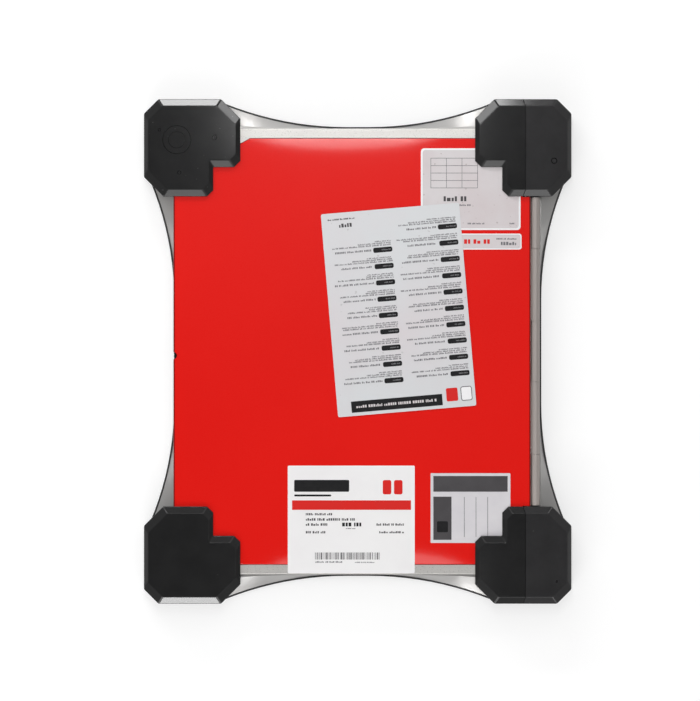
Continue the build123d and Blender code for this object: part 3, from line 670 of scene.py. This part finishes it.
def instruction_card():
    """Turned card: two columns of entries, each with four rows of print and a black tab."""
    size, angle, corner = (100.9, 148.1), 4.9, 1.4
    where = label("instruction_card", card_white, size, angle, corner)
    dice = np.random.default_rng(21)
    pitch = 11.9
    right_column = (40.6, 57.5 - pitch * np.arange(10), 45.0)
    left_column = (-7.7, 44.6 - pitch * np.arange(9), 44.0)
    tabs, tops, feet = [], [], []
    for tab_x, heights, room in (right_column, left_column):
        for y in heights:
            tabs.append((tab_x, y, 13.9, 3.7))
            right = tab_x + 6.6
            tops.append((right - dice.uniform(12, 24), right, y + 6.3, 0.9))
            tops.append((right - dice.uniform(20, room), right, y + 4.9, 1.0))
            tops.append((right - dice.uniform(36, room), right, y + 3.5, 1.1))
            feet.append((right - dice.uniform(36, room), right - 14.8, y + 0.2, 1.4))
    printed("card_tabs", where, tabs, ink_black, 1.1)
    slots = words([(x - 1.0, x + 6.0, y, 0.9) for x, y, *_ in tabs], 6, (3, 9))
    printed("card_tab_marks", where, slots, ink_grey, 0, 2)
    printed("card_rows", where, words(tops, 7), ink_grey, 0)
    printed("card_low_rows", where, words(feet, 8), ink_grey, 0)
    printed("card_foot_bar", where, [(-7.0, -67.6, 66.4, 8.2)], ink_black, 0.3)
    marks = words([(-37.0, 23.0, -67.6, 1.9)], 9)
    printed("card_foot_marks", where, marks, label_grey, 0, 2)
    printed("card_red_square", where, [(33.5, -64.6, 8.4, 9.6)], ink_red, 1.0)
    printed("card_square_frame", where, [(44.0, -64.6, 8.2, 10.4)], ink_dark, 1.4)
    printed(
        "card_white_square", where, [(44.0, -64.6, 7.2, 9.4)], label_edge, 1.0, 2
    )
    heads = words([(-46.0, -26.0, 69.3, 1.1), (-38.5, -26.0, 64.6, 2.8)], 10)
    printed("card_head_rows", where, heads, ink_dark, 0)


def type_label():
    """Type label on the rear hinge corner: a ruled field with rows of print."""
    where = label("type_label", label_edge, corner=2.4)
    printed("type_label_field", where, [(0, 0, 69.8, 56.8)], label_grey, 1.8)
    bold = words([(-20.5, -1.0, -7.0, 3.6)], 12)
    printed("type_label_bold_row", where, bold, ink_dark, 0, 2)
    rows = [(-9.5, 0.0, -11.6, 1.2), (-2.5, 10.5, -25.0, 1.1), (28.0, 32.5, -25.0, 1.1)]
    printed("type_label_rows", where, words(rows, 13), ink_grey, 0, 2)
    rules = [(-12.0, 22.5 - 5.4 * k, 34.0, 0.35) for k in range(5)]
    rules += [(-29.0 + 11.33 * k, 11.7, 0.35, 21.95) for k in range(4)]
    printed("type_label_rules", where, rules, ink_grey, 0, 2)


def strip_label():
    """Narrow label below the type label: a row of red print and two of grey print."""
    where = label("strip_label", label_edge, corner=1.8)
    printed("strip_label_field", where, [(0, 0, 71.4, 10.0)], label_grey, 1.4)
    marks = words([(-6.0, 14.5, 0.0, 3.2)], 14)
    printed("strip_label_marks", where, marks, ink_red, 0, 2)
    small = words([(18.0, 33.0, 2.0, 1.2), (21.0, 33.5, -1.4, 2.4)], 15)
    printed("strip_label_rows", where, small, ink_grey, 0, 2)


def picture_sticker():
    """Sticker with plain printed fields: two dark ones, a small block and a pale ruled one."""
    where = label("picture_sticker", sticker_pale, corner=0.5)
    dark = [(0.0, 17.6, 54.0, 11.4), (-20.4, -7.4, 13.2, 31.4)]
    printed("sticker_dark_fields", where, dark, ink_dark, 0.1)
    rules = [(-4.5 + 8.5 * k, -6.5, 0.4, 29.0) for k in range(3)]
    printed("sticker_rules", where, rules, ink_grey, 0)
    printed("sticker_block", where, [(-20.4, -13.6, 8.0, 8.0)], ink_black, 0.8, 2)


main_label()
instruction_card()
type_label()
strip_label()
picture_sticker()


# ---------------------------------------------------------------- studio
def floor_white():
    """Matt floor that also shows as white to the camera, to gloss and through glass, so that
    it keeps the object's shadow and lights nothing more than its own colour does."""
    matt_grey, shown_glow = 0.45, 0.60
    made = bpy.data.materials.new("floor white")
    made.use_nodes = True
    tree = made.node_tree
    tree.nodes.clear()
    out = tree.nodes.new("ShaderNodeOutputMaterial")
    both = tree.nodes.new("ShaderNodeAddShader")
    matt = tree.nodes.new("ShaderNodeBsdfDiffuse")
    matt.inputs["Color"].default_value = (matt_grey, matt_grey, matt_grey, 1)
    glow = tree.nodes.new("ShaderNodeEmission")
    rays = tree.nodes.new("ShaderNodeLightPath")
    seen = rays.outputs["Is Camera Ray"]
    for other in ("Is Glossy Ray", "Is Transmission Ray"):
        seen = computed(tree, "ADD", seen, rays.outputs[other])
    tree.links.new(computed(tree, "MULTIPLY", seen, shown_glow), glow.inputs["Strength"])
    tree.links.new(matt.outputs["BSDF"], both.inputs[0])
    tree.links.new(glow.outputs["Emission"], both.inputs[1])
    tree.links.new(both.outputs["Shader"], out.inputs["Surface"])
    return made


def room_light():
    """World that is white at the horizon, behind the wide floor, and grey above it."""
    world = bpy.data.worlds.new("studio")
    bpy.context.scene.world = world
    world.use_nodes = True
    tree = world.node_tree
    tree.nodes.clear()
    out = tree.nodes.new("ShaderNodeOutputWorld")
    back = tree.nodes.new("ShaderNodeBackground")
    direction = tree.nodes.new("ShaderNodeTexCoord")
    split = tree.nodes.new("ShaderNodeSeparateXYZ")
    tree.links.new(direction.outputs["Generated"], split.inputs[0])
    heights = [
        (0.0, 1.0), (0.035, 1.0), (0.06, 0.08), (0.20, 0.46), (0.38, 0.46), (0.60, 0.36),
        (0.85, 0.32), (0.97, 0.10), (1.0, 0.05),
    ]
    tree.links.new(ramp(tree, split.outputs["Z"], heights), back.inputs["Color"])
    tree.links.new(back.outputs["Background"], out.inputs["Surface"])


def lamp(name, place, size, radiance, oval=False):
    """Flat lamp square to the X axis and turned about it to face the object; its power is its
    radiance times pi times its area."""
    light = bpy.data.lights.new(name, "AREA")
    light.shape = "ELLIPSE" if oval else "RECTANGLE"
    light.size, light.size_y = size
    area = size[0] * size[1] * (math.pi / 4 if oval else 1.0)
    light.energy = radiance * math.pi * area
    held = bpy.data.objects.new(name, light)
    bpy.context.scene.collection.objects.link(held)
    held.location = place
    held.rotation_euler = (-math.atan2(place[1], place[2]), 0.0, 0.0)


def wide_floor(reach=60.0):
    """Floor that runs on past what the camera sees, part of the studio, not of the object."""
    mesh = bpy.data.meshes.new("floor")
    corners = [(-reach, -reach, 0), (reach, -reach, 0), (reach, reach, 0), (-reach, reach, 0)]
    mesh.from_pydata(corners, [], [(0, 1, 2, 3)])
    mesh.materials.append(floor_white())
    floor = bpy.data.objects.new("floor", mesh)
    bpy.context.scene.collection.objects.link(floor)


def camera(distance=4.0, width_seen=0.5089, above=(-0.0056, 0.0007)):
    """Camera straight above the lid that sees a width at the lid's height, all in metres."""
    lens = bpy.data.cameras.new("camera")
    lens.sensor_fit = "HORIZONTAL"
    lens.sensor_width = 36.0
    lens.lens = lens.sensor_width * distance / width_seen
    lens.clip_end = 200.0
    made = bpy.data.objects.new("camera", lens)
    bpy.context.scene.collection.objects.link(made)
    made.location = (*above, distance + LID_TOP * MM)
    bpy.context.scene.camera = made


# Strips light the front and rear bevels of the bumpers and corner lamps the slanting ones.  The
# softboxes are for all the rest, the top lamp is mirrored in the silver strip at the rear, and
# the two edge lamps are mirrored along the ends of the red panel.
LAMPS = [
    ("rear strip", (-0.605, 1.25, 0.54), (1.49, 0.13), 20.0),
    ("front strip", (-0.60, -1.25, 0.54), (1.1, 0.12), 19.0),
    ("rear left corner lamp", (-0.86, 1.25, 1.01), (0.26, 0.26), 7.0),
    ("rear right corner lamp", (0.87, 1.25, 1.01), (0.22, 0.22), 7.0),
    ("front low softbox", (-0.10, -1.25, 0.78), (1.6, 0.20), 3.0),
    ("rear softbox", (0.0, 1.10, 1.30), (1.4, 0.6), 0.9),
    ("front softbox", (0.0, -1.10, 1.30), (1.4, 0.6), 1.0),
    ("rear top lamp", (-0.011, 0.57, 1.93), (0.15, 0.70), 18.0),
    ("rear edge lamp", (-0.012, 0.246, 1.93), (0.238, 0.058), 6.0, True),
    ("front edge lamp", (0.014, -0.237, 1.93), (0.216, 0.044), 4.0, True),
]

wide_floor()
room_light()
for values in LAMPS:
    lamp(*values)
bpy.context.scene.view_settings.view_transform = "Standard"
camera()
